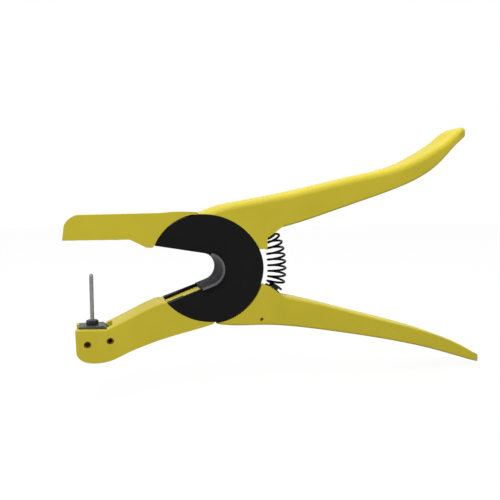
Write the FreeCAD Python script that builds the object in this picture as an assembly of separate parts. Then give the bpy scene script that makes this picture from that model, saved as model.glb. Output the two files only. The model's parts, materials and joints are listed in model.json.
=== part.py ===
import FreeCAD, Part
import math
import os

# Hand pliers with a flip-away needle. Two yellow arms cross at a round pivot with an open throat.
# X runs from the jaws to the handles, Z is up, Y runs across the width, and the origin is the
# centre of the throat, which is the pivot. All lengths are millimetres and all angles degrees.

os.makedirs("parts", exist_ok=True)

# Widths across Y
arm_width = 22.0
core_share = 0.5273
plate_thickness = 2.0
fork_slot_width = 12.0

# Clearances
running_gap = 0.05
side_gap = 0.1
moving_gap = 0.35
overrun = 5.0

# Throat, its liner, which is also the journal that the link plates turn on, and the mouth
throat_radius = 8.4
liner_wall = 1.5
liner_proud = 0.6
liner_leg = 7.0
liner_lip = 0.2
mouth_top_angle = 170.0
mouth_top_offset = 9.1
mouth_bottom_angle = 200.0
near_cheek_step = 0.8
far_cheek_step = 1.6

# Disc: angles of its stations, and the radius at the start, middle and end of each seat
swing = 22.0
notch_top_angle = 99.0
mouth_top_tip_angle = 154.0
handle_tip_angle = 24.0
lower_tip_angle = -17.0
notch_bottom_angle = -82.0
mouth_bottom_tip_angle = -143.0
mouth_margin_angle = 6.0
notch_half_angle = 0.8
clip_seat_radii = (32.7, 33.7, 33.6)
upper_seat_radii = (32.2, 31.3, 32.6)
free_edge_radius = 33.3
lower_seat_radii = (31.6, 32.9, 33.75)
fork_seat_radii = (30.6, 29.4, 29.7)
clip_ease = (0.55, 1.0, 0.4)
lower_ease = (0.6, 1.25, 0.85)

# Cheeks
dish_depth = 1.9
dish_radius = 31.0
peg_radius = 2.5
peg_length = 4.0
peg_ring_radius = 25.3
peg_angles = (42.0, 82.0, -98.0, -126.0)

# Link plates: a ring round the liner and two tongues
ring_outer = 20.0
ring_low_angle = -68.0
clip_tongue_angle = 111.0
lower_tongue_angle = -27.0
lower_tongue_lean_angle = 4.0
clip_tongue_lean_angle = 8.0
pocket_margin_angle = 3.0
key_radius = 2.0
tongue_cover = 2.0
lower_waist_share = 0.8

# Upper handle, part of the needle arm
upper_length = 178.5
upper_rise = 91.2
upper_edge_round = 4.5
small_edge_round = 1.2
tip_plan_stretch = 1.09
hook_x = 35.7
hook_bottom = 11.3
hook_left = 31.0
upper_top_shares = ((-0.070, 0.337), (-0.016, 0.360), (0.027, 0.393), (0.141, 0.443), (0.347, 0.524),
                    (0.538, 0.611), (0.723, 0.704), (0.841, 0.818), (0.902, 0.895), (0.952, 0.966),
                    (0.989, 0.986), (1.031, 0.990))
upper_under_shares = ((0.353, 0.316), (0.462, 0.384), (0.666, 0.513), (0.768, 0.593), (0.857, 0.702),
                      (0.941, 0.860), (0.984, 0.917), (1.031, 0.938))
upper_nose_shares = ((0.974, 0.982), (1.0, 0.950), (0.983, 0.921))

# Spring seats on both arms, and the cups that hold the spring on them
seat_length = 10.6
upper_seat_x = 35.7
upper_seat_z = 17.7
upper_seat_slope = 35.0
lower_seat_x = 38.0
lower_seat_z = -11.5
lower_seat_slope = -37.0
cup_radius = 5.2
cup_thickness = 1.2
cup_stud_radius = 3.2
cup_stud_length = 2.4
cup_peg_radius = 1.5
cup_peg_length = 3.0

# Return spring
spring_wire = 1.4
spring_radii = (4.3, 5.4, 5.1)
spring_turns = 8.5
spring_swell_power = 0.6
spring_upper_bow = 6.5
spring_lower_bow = 7.0
spring_lower_lean = 7.0
spring_lower_lift = 0.7
least_wire_gap = 0.4

# Lower handle
lower_length = 195.4
lower_drop = 71.8
lower_top_shares = ((0.290, -0.280), (0.347, -0.320), (0.526, -0.459), (0.717, -0.610), (0.853, -0.744),
                    (0.946, -0.873), (0.985, -0.931), (1.024, -0.969))
lower_bottom_shares = ((0.0275, -0.444), (0.0714, -0.463), (0.164, -0.476), (0.358, -0.550), (0.590, -0.680),
                       (0.767, -0.804), (0.911, -0.930), (0.978, -0.985), (1.024, -1.010))
lower_nose_shares = ((0.985, -0.930), (1.0, -0.957), (0.988, -0.991))
lower_tongue_length = 64.0
cross_pin_x = 32.2
cross_pin_z = -30.7
cross_pin_radius = 1.1
cross_pin_recess = 0.9

# Fork jaw, part of the needle arm
fork_length = 72.8
fork_depth = 49.0
fork_top_drop = 30.6
fork_ear_fall = 1.0
fork_step_inset = 16.4
fork_slot_length = 19.4
fork_floor = 3.4
ramp_edge_round = 0.75
fork_bottom_shares = ((0.034, -0.645), (-0.102, -0.694), (-0.387, -0.790), (-0.504, -0.843), (-0.609, -0.898),
                      (-0.672, -0.939), (-0.754, -0.985), (-0.820, -1.0), (-0.875, -0.999), (-0.931, -0.980),
                      (-0.974, -0.937), (-0.996, -0.869))
fork_ramp_shares = ((0.758, -0.555), (0.504, -0.473), (0.268, -0.402), (0.101, -0.363))

# Needle carrier, its pins, spring and needle
carrier_pin_inset = 6.1
carrier_pin_z = -38.5
stop_pin_inset = 18.0
stop_pin_z = -37.3
roll_pin_radius = 1.95
roll_pin_wall = 0.75
roll_pin_slit = 0.5
roll_pin_recess = 0.8
carrier_boss = 4.6
carrier_height = 8.8
carrier_front = 8.6
tail_reach = 12.7
tail_thickness = 1.8
stop_gap = 0.1
flip_spring_wire = 0.8
flip_spring_turns = 3.0
flip_spring_pitch = 1.25
flip_spring_play = 0.45
needle_offset = 2.6
needle_radius = 1.1
needle_point = 1.2
needle_flat = 0.5
needle_tip_z = -1.1
needle_stem_radius = 1.6
needle_stem_depth = 5.3
nut_across_flats = 5.8
nut_height = 2.6

# Clip jaw and the tag clip under it
jaw_overhang = 5.2
jaw_under = 18.2
jaw_top = 32.5
jaw_nose_shares = ((-0.987, 0.803), (-0.963, 0.889), (-0.907, 0.972))
jaw_heel_shares = ((-0.33, 1.003), (-0.204, 1.026), (-0.079, 1.018))
jaw_nub_shares = ((0.075, 0.415), (0.331, 0.418), (0.692, 0.498))
nub_start_x = -43.6
clip_tongue_margin = 10.8
clip_tongue_low = 21.6
clip_tongue_top = 29.9
needle_hole_radius = 4.0
needle_hole_depth = 10.0
clip_inset = 3.0
clip_behind = 14.8
clip_plate_width = 16.0
clip_recess = 1.6
clip_sheet = 1.0
clip_hole_gap = 0.6
clip_screw_inset = 4.5
clip_screw_radius = 1.3
clip_screw_head = 2.3
clip_screw_head_height = 0.9
clip_screw_length = 7.0
driver_slot_width = 0.6
driver_slot_depth = 0.45

# Values worked out from the sizes above
half_width = arm_width / 2
core_half = half_width * core_share
liner_outer = throat_radius + liner_wall
plate_low = core_half + running_gap
plate_high = plate_low + plate_thickness
pocket_depth = running_gap + plate_thickness + side_gap
ring_inner = liner_outer + running_gap
carrier_half = fork_slot_width / 2 - side_gap
tip_plan_depth = half_width * tip_plan_stretch
fork_step_x = fork_step_inset - fork_length
fork_slot_end = fork_slot_length - fork_length
carrier_pin_x = carrier_pin_inset - fork_length
stop_pin_x = stop_pin_inset - fork_length
needle_x = carrier_pin_x + needle_offset
carrier_top = carrier_pin_z + carrier_height
tail_under = stop_pin_z + roll_pin_radius + stop_gap
far_reach = free_edge_radius + overrun
liner_top_angle = mouth_top_angle - 90
jaw_length = fork_length + jaw_overhang


def needle_hole_x():
    """Where the needle stands in the jaw when the jaws are closed, half way from the face to its tip."""
    turn = math.radians(swing)
    tip_x = needle_x * math.cos(turn) + needle_tip_z * math.sin(turn)
    tip_z = needle_tip_z * math.cos(turn) - needle_x * math.sin(turn)
    return tip_x - (tip_z - jaw_under) / 2 * math.tan(turn)


hole_x = needle_hole_x()
clip_tongue_end = hole_x + clip_tongue_margin
clip_left = clip_inset - jaw_length
clip_right = hole_x + clip_behind
clip_length = clip_right - clip_left


def point(x, z, y=0):
    return FreeCAD.Vector(x, y, z)


def polar(radius, angle):
    turn = math.radians(angle)
    return point(radius * math.cos(turn), radius * math.sin(turn))


def heading(angle):
    return polar(1, angle)


def places(shares, length, height):
    return [point(across * length, up * height) for across, up in shares]


def spans(shares, from_x, to_x, height):
    """Points whose first share runs from one X to another, so that they keep between the two."""
    return [point(from_x + across * (to_x - from_x), up * height) for across, up in shares]


def line(a, b):
    return Part.LineSegment(a, b).toShape()


def lines(points):
    return [line(a, b) for a, b in zip(points, points[1:])]


def arc(a, b, c):
    return Part.Arc(a, b, c).toShape()


def smooth(points):
    curve = Part.BSplineCurve()
    curve.interpolate(points)
    return curve.toShape()


def slab(edges, low, high):
    """Close edges drawn in the XZ plane and push the face from y = low to y = high."""
    face = Part.Face(Part.Wire(Part.__sortEdges__(edges)))
    face.translate(FreeCAD.Vector(0, low, 0))
    return face.extrude(FreeCAD.Vector(0, high - low, 0))


def polygon(points, low, high):
    return slab(lines(list(points) + [points[0]]), low, high)


def cross_bar(x, z, radius, low, high):
    """A round bar that runs across the width."""
    return Part.makeCylinder(radius, high - low, FreeCAD.Vector(x, low, z), FreeCAD.Vector(0, 1, 0))


def flipped(solid):
    """The mirror image in the middle plane."""
    return solid.mirror(FreeCAD.Vector(0, 0, 0), FreeCAD.Vector(0, 1, 0))


def seat_arc(radii, start_angle, end_angle):
    middle = polar(radii[1], (start_angle + end_angle) / 2)
    return arc(polar(radii[0], start_angle), middle, polar(radii[2], end_angle))


def rounded(solid, radius, marks):
    """Round the long edges at both side faces that pass through the marks of the outline."""
    chosen = []
    for mark in marks:
        for side in (-half_width, half_width):
            spot = Part.Vertex(point(mark.x, mark.z, side))
            for edge in solid.Edges:
                if edge.distToShape(spot)[0] < running_gap:
                    chosen.append(edge)
    return solid.makeFillet(radius, chosen)


def tip_plan(end_x):
    """Seen from above, a handle ends in a half ellipse."""
    start_x = end_x - tip_plan_depth
    corners = [FreeCAD.Vector(start_x, -half_width, 0), FreeCAD.Vector(-throat_radius, -half_width, 0),
               FreeCAD.Vector(-throat_radius, half_width, 0), FreeCAD.Vector(start_x, half_width, 0)]
    ellipse = Part.Ellipse(FreeCAD.Vector(start_x, 0, 0), tip_plan_depth, half_width)
    edges = lines(corners) + [Part.ArcOfEllipse(ellipse, -math.pi / 2, math.pi / 2).toShape()]
    face = Part.Face(Part.Wire(Part.__sortEdges__(edges)))
    height = upper_rise + overrun
    face.translate(FreeCAD.Vector(0, 0, -height))
    return face.extrude(FreeCAD.Vector(0, 0, 2 * height))


def nose_plan(nose):
    """Seen from the side, a handle ends in a round nose through three points."""
    height = upper_rise + overrun
    corners = [point(nose[2].x, -height), point(-throat_radius, -height), point(-throat_radius, height),
               point(nose[0].x, height)]
    edges = [arc(*nose)] + lines([nose[2]] + corners + [nose[0]])
    return slab(edges, -arm_width, arm_width)


def pie(low_angle, high_angle, low, high):
    """A wedge from the pivot out past the disc."""
    middle = heading((low_angle + high_angle) / 2) * (2 * far_reach)
    corners = [point(0, 0), heading(low_angle) * far_reach, middle, heading(high_angle) * far_reach]
    return polygon(corners, low, high)


def wall_point(angle, offset, reach, side):
    """A point on a straight wall that runs outwards at an angle, offset from the pivot."""
    turn = math.radians(angle)
    normal = point(side * math.sin(turn), -side * math.cos(turn))
    return heading(angle) * reach + normal * offset


def throat_space(bottom_offset):
    """The open throat: the liner's round seat, the bed of its leg and the mouth to the left."""
    top_near = wall_point(mouth_top_angle, mouth_top_offset, 0, 1)
    top_far = wall_point(mouth_top_angle, mouth_top_offset, far_reach, 1)
    low_near = wall_point(mouth_bottom_angle, bottom_offset, 0, -1)
    low_far = wall_point(mouth_bottom_angle, bottom_offset, far_reach, -1)
    mouth = polygon([point(0, 0), top_near, top_far, low_far, low_near], -arm_width, arm_width)
    seat = cross_bar(0, 0, liner_outer, -arm_width, arm_width)
    seat = seat.cut(pie(liner_top_angle, mouth_top_angle, -arm_width, arm_width))
    leg_points = [point(0, 0), wall_point(mouth_bottom_angle, liner_outer, 0, -1),
                  wall_point(mouth_bottom_angle, liner_outer, liner_leg, -1),
                  heading(mouth_bottom_angle) * liner_leg]
    return mouth.fuse([seat, polygon(leg_points, -arm_width, arm_width)])


def disc(low, high, fixed_gap):
    """The C-shaped disc. It is eased away from the two seats that turn round it."""
    clip = [radius - ease for radius, ease in zip(clip_seat_radii, clip_ease)]
    upper = [radius - fixed_gap for radius in upper_seat_radii]
    lower = [radius - ease for radius, ease in zip(lower_seat_radii, lower_ease)]
    fork = [radius - fixed_gap for radius in fork_seat_radii]
    top_end = mouth_top_tip_angle + mouth_margin_angle
    low_end = mouth_bottom_tip_angle - mouth_margin_angle
    free_middle = polar(free_edge_radius, (handle_tip_angle + lower_tip_angle) / 2)
    edges = [seat_arc(clip, notch_top_angle, top_end), seat_arc(upper, notch_top_angle, handle_tip_angle),
             seat_arc(lower, notch_bottom_angle, lower_tip_angle),
             seat_arc(fork, notch_bottom_angle, low_end),
             arc(polar(upper[2], handle_tip_angle), free_middle, polar(lower[2], lower_tip_angle)),
             line(polar(clip[0], notch_top_angle), polar(upper[0], notch_top_angle)),
             line(polar(lower[0], notch_bottom_angle), polar(fork[0], notch_bottom_angle)),
             line(polar(clip[2], top_end), polar(fork[2], low_end))]
    return slab(edges, low, high)


def peg_spots():
    return [polar(peg_ring_radius, angle) for angle in peg_angles]


def seat_frame(start_x, start_z, slope, side):
    """Middle of a spring seat, its direction, and the way out of it towards the spring."""
    along = heading(slope)
    start = point(start_x, start_z)
    out = heading(slope + side * 90)
    return start + along * (seat_length / 2), start + along * seat_length, out


def upper_handle():
    """The block is rounded while its ends are still plain, and is cut to its seat and tip afterwards."""
    seat_middle, seat_end, out = seat_frame(upper_seat_x, upper_seat_z, upper_seat_slope, -1)
    top = places(upper_top_shares, upper_length, upper_rise)
    under = [seat_end] + places(upper_under_shares, upper_length, upper_rise)
    nose = places(upper_nose_shares, upper_length, upper_rise)
    foot = [top[0], point(top[0].x, hook_bottom), point(hook_x, hook_bottom),
            point(upper_seat_x, upper_seat_z), seat_end]
    edges = [smooth(top), line(top[-1], under[-1]), smooth(under)] + lines(foot)
    block = slab(edges, -half_width, half_width)
    block = rounded(block, upper_edge_round, [top[5]])
    block = rounded(block, small_edge_round, [under[3]])
    block = block.common(tip_plan(upper_length)).common(nose_plan(nose))
    start_angle = notch_top_angle - notch_half_angle
    seat_start = polar(upper_seat_radii[0], start_angle)
    seat_tip = polar(upper_seat_radii[2], handle_tip_angle)
    below = [seat_tip, point(hook_left, hook_bottom), point(hook_left, 0), point(-far_reach, 0),
             point(-far_reach, far_reach), polar(far_reach, start_angle), seat_start]
    edges = [seat_arc(upper_seat_radii, start_angle, handle_tip_angle)] + lines(below)
    return block.cut(slab(edges, -arm_width, arm_width))


def fork_jaw():
    bottom = places(fork_bottom_shares, fork_length, fork_depth)
    end_angle = notch_bottom_angle - notch_half_angle
    seat_start = polar(fork_seat_radii[0], end_angle)
    seat_end = polar(fork_seat_radii[2], mouth_bottom_tip_angle)
    ramp = [point(fork_step_x, -fork_top_drop)]
    ramp += spans(fork_ramp_shares, seat_end.x, fork_step_x, fork_depth)
    ear = [bottom[-1], point(-fork_length, -fork_top_drop),
           point(fork_step_x, -fork_top_drop - fork_ear_fall), ramp[0]]
    edges = [line(seat_start, bottom[0]), smooth(bottom), smooth(ramp), line(ramp[-1], seat_end),
             seat_arc(fork_seat_radii, end_angle, mouth_bottom_tip_angle)]
    block = slab(edges + lines(ear), -half_width, half_width)
    block = rounded(block, ramp_edge_round, [ramp[2]])
    slot_left = -fork_length - overrun
    slot_low = fork_floor - fork_depth
    slot = polygon([point(slot_left, slot_low), point(fork_slot_end, slot_low), point(fork_slot_end, 0),
                    point(slot_left, 0)], -fork_slot_width / 2, fork_slot_width / 2)
    block = block.cut(slot)
    for x, z in ((carrier_pin_x, carrier_pin_z), (stop_pin_x, stop_pin_z)):
        block = block.cut(cross_bar(x, z, roll_pin_radius, -arm_width, arm_width))
    return block


def needle_arm():
    """One moulding: the fork jaw, the middle layer of the disc and the upper handle."""
    core = disc(-core_half, core_half, 0).cut(throat_space(liner_outer))
    for spot in peg_spots():
        core = core.cut(cross_bar(spot.x, spot.z, peg_radius, -core_half, core_half))
    arm = core.fuse([upper_handle(), fork_jaw()]).removeSplitter()
    seat_middle, seat_end, out = seat_frame(upper_seat_x, upper_seat_z, upper_seat_slope, -1)
    return arm.cut(Part.makeCylinder(cup_peg_radius, cup_peg_length, seat_middle, out * -1))


def cheek_cover(step):
    """Black side cover of the disc, seen on the near side: dished outside, with a pocket inside for the
    link plate. Its lower mouth wall stands over the core's by the step."""
    cheek = disc(-half_width, -core_half, side_gap)
    wide = dish_radius + (dish_radius - liner_outer)
    tall = 2 * dish_depth
    cone = Part.makeCone(wide, liner_outer, tall, FreeCAD.Vector(0, -half_width - dish_depth, 0),
                         FreeCAD.Vector(0, 1, 0))
    cheek = cheek.cut(cone)
    pocket_face = -core_half - pocket_depth
    ring = cross_bar(0, 0, ring_outer + moving_gap, pocket_face, -core_half)
    clip_wedge = pie(clip_tongue_angle - pocket_margin_angle, mouth_top_tip_angle + swing, pocket_face,
                     -core_half)
    lower_wedge = pie(ring_low_angle - pocket_margin_angle, lower_tongue_angle + swing + pocket_margin_angle,
                      pocket_face, -core_half)
    cheek = cheek.cut(ring.fuse([clip_wedge, lower_wedge]))
    cheek = cheek.cut(throat_space(liner_outer - step))
    peg_end = peg_length - core_half
    for spot in peg_spots():
        cheek = cheek.fuse(cross_bar(spot.x, spot.z, peg_radius - running_gap, -core_half, peg_end))
    return cheek.removeSplitter()


def throat_liner():
    """A bent steel strip: most of a half circle and one straight leg along the lower wall."""
    low_angle = mouth_bottom_angle + 90
    middle_angle = (liner_top_angle + low_angle - 360) / 2
    outer = arc(polar(liner_outer, liner_top_angle), polar(liner_outer, middle_angle),
                polar(liner_outer, low_angle))
    inner = arc(polar(throat_radius, liner_top_angle), polar(throat_radius, middle_angle),
                polar(throat_radius, low_angle))
    outer_end = wall_point(mouth_bottom_angle, liner_outer, liner_leg, -1)
    inner_end = wall_point(mouth_bottom_angle, throat_radius, liner_leg, -1)
    edges = [outer, inner, line(polar(throat_radius, liner_top_angle), polar(liner_outer, liner_top_angle))]
    edges += lines([polar(liner_outer, low_angle), outer_end, inner_end, polar(throat_radius, low_angle)])
    reach = half_width + liner_proud
    liner = slab(edges, -reach, reach)
    inner_rim = []
    for edge in liner.Edges:
        middle = edge.valueAt((edge.FirstParameter + edge.LastParameter) / 2)
        on_wall = abs(math.hypot(middle.x, middle.z) - throat_radius) < running_gap
        if on_wall and abs(abs(middle.y) - reach) < running_gap:
            inner_rim.append(edge)
    return liner.makeChamfer(liner_lip, inner_rim)


def near_link_plate():
    """Steel plate that joins the clip jaw to the lower handle round the liner."""
    edge_angle = mouth_top_angle - swing
    edge_near = wall_point(edge_angle, liner_outer, 0, 1)
    edge_far = wall_point(edge_angle, liner_outer, free_edge_radius, 1)
    clip_side = [edge_near, edge_far, polar(clip_seat_radii[0], clip_tongue_angle),
                 polar(ring_outer, clip_tongue_angle)]
    lower_side = [polar(ring_outer, ring_low_angle), lower_tongue()[0],
                  polar(lower_seat_radii[2], lower_tongue_angle), polar(ring_outer, lower_tongue_angle)]
    low, high = -plate_high, -plate_low
    mouth = polygon([point(0, 0), edge_near, edge_far, point(-far_reach, 0), point(-far_reach, -far_reach),
                     heading(ring_low_angle) * far_reach], low, high)
    body = cross_bar(0, 0, ring_outer, low, high)
    body = body.fuse([polygon(clip_side, low, high), polygon(lower_side, low, high)]).cut(mouth)
    clip_tongue = [edge_far, point(-free_edge_radius, clip_tongue_low),
                   point(clip_tongue_end, clip_tongue_low), point(clip_tongue_end, clip_tongue_top),
                   polar(clip_seat_radii[2] + moving_gap, clip_tongue_angle + clip_tongue_lean_angle),
                   polar(clip_seat_radii[0], clip_tongue_angle)]
    body = body.fuse([polygon(clip_tongue, low, high), polygon(lower_tongue(), low, high)]).removeSplitter()
    body = body.cut(cross_bar(0, 0, ring_inner, -arm_width, arm_width))
    for x, z in key_places():
        body = body.cut(cross_bar(x, z, key_radius, -arm_width, arm_width))
    return body.cut(cross_bar(cross_pin_x, cross_pin_z, cross_pin_radius, -arm_width, arm_width))


def lower_tongue():
    """The tongue inside the lower handle keeps a cover of plastic above and below it."""
    top = places(lower_top_shares, lower_length, lower_drop)
    bottom = places(lower_bottom_shares, lower_length, lower_drop)
    cover = point(0, tongue_cover)
    end_top = point(lower_tongue_length, top[1].z) - cover * 2
    end_low = point(lower_tongue_length, bottom[3].z) + cover * 2
    return [polar(lower_seat_radii[1], ring_low_angle + lower_tongue_lean_angle), bottom[1] + cover,
            bottom[2] + cover * lower_waist_share, end_low, end_top,
            point(lower_seat_x, lower_seat_z - cup_peg_length) - cover * 2,
            polar(lower_seat_radii[2], lower_tongue_angle)]


def key_places():
    """Holes in the plates that the moulded arms fill, two in each tongue."""
    clip_z = (clip_tongue_low + clip_tongue_top) / 2
    clip_first = clip_tongue_end + 3 * key_radius
    lower_first = lower_tongue_length - 3 * key_radius
    lower_z = lower_tongue()[3].z + 2 * key_radius
    return [(clip_first, clip_z), (clip_first + 6 * key_radius, clip_z),
            (lower_first, lower_z), (lower_first - 5 * key_radius, lower_z + key_radius)]


def clip_jaw(plates):
    nose = places(jaw_nose_shares, jaw_length, jaw_top)
    heel = places(jaw_heel_shares, jaw_length, jaw_top)
    start_angle = notch_top_angle + notch_half_angle
    seat_start = polar(clip_seat_radii[0], start_angle)
    seat_end = polar(clip_seat_radii[2], mouth_top_tip_angle)
    nub = spans(jaw_nub_shares, seat_end.x, nub_start_x, jaw_top)
    outline = [seat_end] + nub + [point(nub_start_x, jaw_under), point(-jaw_length, jaw_under), nose[0]]
    edges = lines(outline) + [arc(*nose)] + lines([nose[2], heel[0]]) + [arc(*heel)]
    edges += [line(heel[2], seat_start), seat_arc(clip_seat_radii, start_angle, mouth_top_tip_angle)]
    jaw = slab(edges, -half_width, half_width)
    recess_low = jaw_under - overrun
    recess = Part.makeBox(clip_length, clip_plate_width + 2 * side_gap, clip_recess + overrun,
                          FreeCAD.Vector(clip_left, -clip_plate_width / 2 - side_gap, recess_low))
    hole = Part.makeCylinder(needle_hole_radius, needle_hole_depth + overrun,
                             FreeCAD.Vector(hole_x, 0, recess_low))
    jaw = jaw.cut(recess).cut(hole)
    for spot in clip_screw_spots():
        jaw = jaw.cut(Part.makeCylinder(clip_screw_radius, clip_screw_length, spot))
    return jaw.cut(plates[0]).cut(plates[1])


def clip_screw_spots():
    """Where the screws pass the top face of the tag clip, which is the roof of its recess."""
    roof = jaw_under + clip_recess
    x = clip_right - clip_screw_inset
    return [FreeCAD.Vector(x, side * (core_half - clip_screw_radius), roof) for side in (-1, 1)]


def tag_clip():
    """Thin steel plate with an open-ended slot that holds the loose half of the tag."""
    roof = jaw_under + clip_recess
    plate = Part.makeBox(clip_length - 2 * side_gap, clip_plate_width, clip_sheet,
                         FreeCAD.Vector(clip_left + side_gap, -clip_plate_width / 2, roof - clip_sheet))
    radius = needle_hole_radius + clip_hole_gap
    slot = Part.makeBox(hole_x - clip_left + overrun, 2 * radius, overrun,
                        FreeCAD.Vector(clip_left - overrun, -radius, roof - overrun / 2))
    round_end = Part.makeCylinder(radius, overrun, FreeCAD.Vector(hole_x, 0, roof - overrun / 2))
    plate = plate.cut(slot.fuse(round_end))
    for spot in clip_screw_spots():
        low = spot - FreeCAD.Vector(0, 0, overrun / 2)
        plate = plate.cut(Part.makeCylinder(clip_screw_radius, overrun, low))
    return plate


def tag_clip_screws():
    screws = []
    for spot in clip_screw_spots():
        under_plate = spot - FreeCAD.Vector(0, 0, clip_sheet)
        shank = Part.makeCylinder(clip_screw_radius, clip_sheet + clip_screw_length, under_plate)
        head_base = under_plate - FreeCAD.Vector(0, 0, clip_screw_head_height)
        head = Part.makeCylinder(clip_screw_head, clip_screw_head_height, head_base)
        slot = Part.makeBox(2 * clip_screw_head, driver_slot_width, driver_slot_depth,
                            head_base - FreeCAD.Vector(clip_screw_head, driver_slot_width / 2, 0))
        screws.append(shank.fuse(head).cut(slot).removeSplitter())
    return Part.makeCompound(screws)


def lower_handle(plates):
    seat_middle, seat_end, out = seat_frame(lower_seat_x, lower_seat_z, lower_seat_slope, 1)
    top = [seat_end] + places(lower_top_shares, lower_length, lower_drop)
    bottom = places(lower_bottom_shares, lower_length, lower_drop)
    nose = places(lower_nose_shares, lower_length, lower_drop)
    start_angle = notch_bottom_angle + notch_half_angle
    seat_tip = polar(lower_seat_radii[2], lower_tip_angle)
    edges = [smooth(top), line(top[-1], bottom[-1]), smooth(bottom)]
    edges += [line(bottom[0], polar(lower_seat_radii[0], start_angle))]
    edges += [seat_arc(lower_seat_radii, start_angle, lower_tip_angle)]
    edges += lines([seat_tip, point(lower_seat_x, lower_seat_z), seat_end])
    handle = slab(edges, -half_width, half_width)
    handle = rounded(handle, small_edge_round, [bottom[4], top[4]])
    handle = handle.common(tip_plan(lower_length)).common(nose_plan(nose))
    handle = handle.cut(cross_bar(cross_pin_x, cross_pin_z, cross_pin_radius, -arm_width, arm_width))
    handle = handle.cut(Part.makeCylinder(cup_peg_radius, cup_peg_length, seat_middle, out * -1))
    return handle.cut(plates[0]).cut(plates[1])


def link_cross_pin():
    reach = half_width - cross_pin_recess
    return cross_bar(cross_pin_x, cross_pin_z, cross_pin_radius, -reach, reach)


def spring_cup(middle, out):
    """Plastic cup on a spring seat: a flange, a stud inside the spring and a peg in the arm."""
    flange = Part.makeCylinder(cup_radius, cup_thickness, middle, out)
    stud = Part.makeCylinder(cup_stud_radius, cup_thickness + cup_stud_length, middle, out)
    peg = Part.makeCylinder(cup_peg_radius - running_gap, cup_peg_length, middle, out * -1)
    return flange.fuse([stud, peg]).removeSplitter()


def roll_pin(x, z):
    reach = half_width - roll_pin_recess
    pin = cross_bar(x, z, roll_pin_radius, -reach, reach)
    pin = pin.cut(cross_bar(x, z, roll_pin_radius - roll_pin_wall, -arm_width, arm_width))
    slit = Part.makeBox(roll_pin_slit, arm_width, roll_pin_radius,
                        FreeCAD.Vector(x - roll_pin_slit / 2, -half_width, z - roll_pin_radius))
    return pin.cut(slit)


def needle_carrier():
    x, z = carrier_pin_x, carrier_pin_z
    outline = [point(x - carrier_boss, z), point(x - carrier_boss, carrier_top),
               point(x + carrier_front, carrier_top),
               point(x + tail_reach, tail_under + tail_thickness), point(x + tail_reach, tail_under),
               point(x + carrier_front, tail_under), point(x + carrier_boss, z)]
    block = polygon(outline, -carrier_half, carrier_half)
    block = block.fuse(cross_bar(x, z, carrier_boss, -carrier_half, carrier_half))
    block = block.cut(cross_bar(x, z, roll_pin_radius + running_gap, -arm_width, arm_width))
    radius = flip_spring_radius() + flip_spring_wire / 2 + moving_gap
    block = block.cut(cross_bar(x, z, radius, carrier_half - flip_spring_room(), carrier_half))
    stem = Part.makeCylinder(needle_stem_radius, needle_stem_depth,
                             FreeCAD.Vector(needle_x, 0, carrier_top - needle_stem_depth))
    return block.cut(stem).removeSplitter()


def needle():
    base = carrier_top - needle_stem_depth
    shoulder = carrier_top + nut_height
    stem = Part.makeCylinder(needle_stem_radius, shoulder - base, FreeCAD.Vector(needle_x, 0, base))
    shaft_length = needle_tip_z - needle_point - shoulder
    shaft = Part.makeCylinder(needle_radius, shaft_length, FreeCAD.Vector(needle_x, 0, shoulder))
    tip = Part.makeCone(needle_radius, needle_flat, needle_point,
                        FreeCAD.Vector(needle_x, 0, needle_tip_z - needle_point))
    return stem.fuse([shaft, tip]).removeSplitter()


def needle_nut():
    corner = nut_across_flats / math.sqrt(3)
    ring = []
    for side in range(7):
        turn = math.radians(60 * side)
        ring.append(FreeCAD.Vector(needle_x + corner * math.cos(turn), corner * math.sin(turn), carrier_top))
    nut = Part.Face(Part.makePolygon(ring)).extrude(FreeCAD.Vector(0, 0, nut_height))
    foot = FreeCAD.Vector(needle_x, 0, carrier_top)
    return nut.cut(Part.makeCylinder(needle_stem_radius, nut_height, foot))


def biarc(start, start_way, end, end_way):
    """Two arcs that leave the start and reach the end along the given directions."""
    chord = end - start
    both = start_way + end_way
    spread = 2 * (1 - start_way.dot(end_way))
    reach = (math.sqrt(chord.dot(both) ** 2 + spread * chord.dot(chord)) - chord.dot(both)) / spread
    join = (start + end + (start_way - end_way) * reach) / 2
    return [tangent_arc(start, start_way, join), tangent_arc(end, end_way * -1, join)]


def tangent_arc(start, way, end):
    chord = end - start
    along = chord * (1 / chord.Length)
    rise = way - along * way.dot(along)
    angle = math.atan2(rise.Length, way.dot(along))
    bulge = rise * (1 / rise.Length) * (chord.Length / 2 * math.tan(angle / 2))
    return arc(start, start + chord / 2 + bulge, end)


def wound_wire(place, turns, wire):
    """One unbroken tube along quarter turns of the curve that place(turn) gives."""
    step = 1 / 1000
    count = round(4 * turns)
    stations = [turns * index / count for index in range(count + 1)]
    ways = []
    for turn in stations:
        ahead = place(turn + step) - place(turn - step)
        ways.append(ahead * (1 / ahead.Length))
    edges = []
    for index in range(count):
        edges += biarc(place(stations[index]), ways[index], place(stations[index + 1]), ways[index + 1])
    path = Part.Wire(Part.__sortEdges__(edges))
    profile = Part.Wire(Part.makeCircle(wire / 2, place(0), ways[0]))
    return path.makePipeShell([profile], True, False)


def least_gap(place, turns, wire):
    """Least clear distance between neighbouring turns, measured on points of the curve."""
    per_turn = 48
    count = round(per_turn * turns)
    samples = [place(turns * index / count) for index in range(count + 1)]
    nearest = wire + far_reach
    for index, sample in enumerate(samples):
        for other in samples[index + per_turn * 3 // 5:]:
            nearest = min(nearest, (sample - other).Length)
    return nearest - wire


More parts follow.
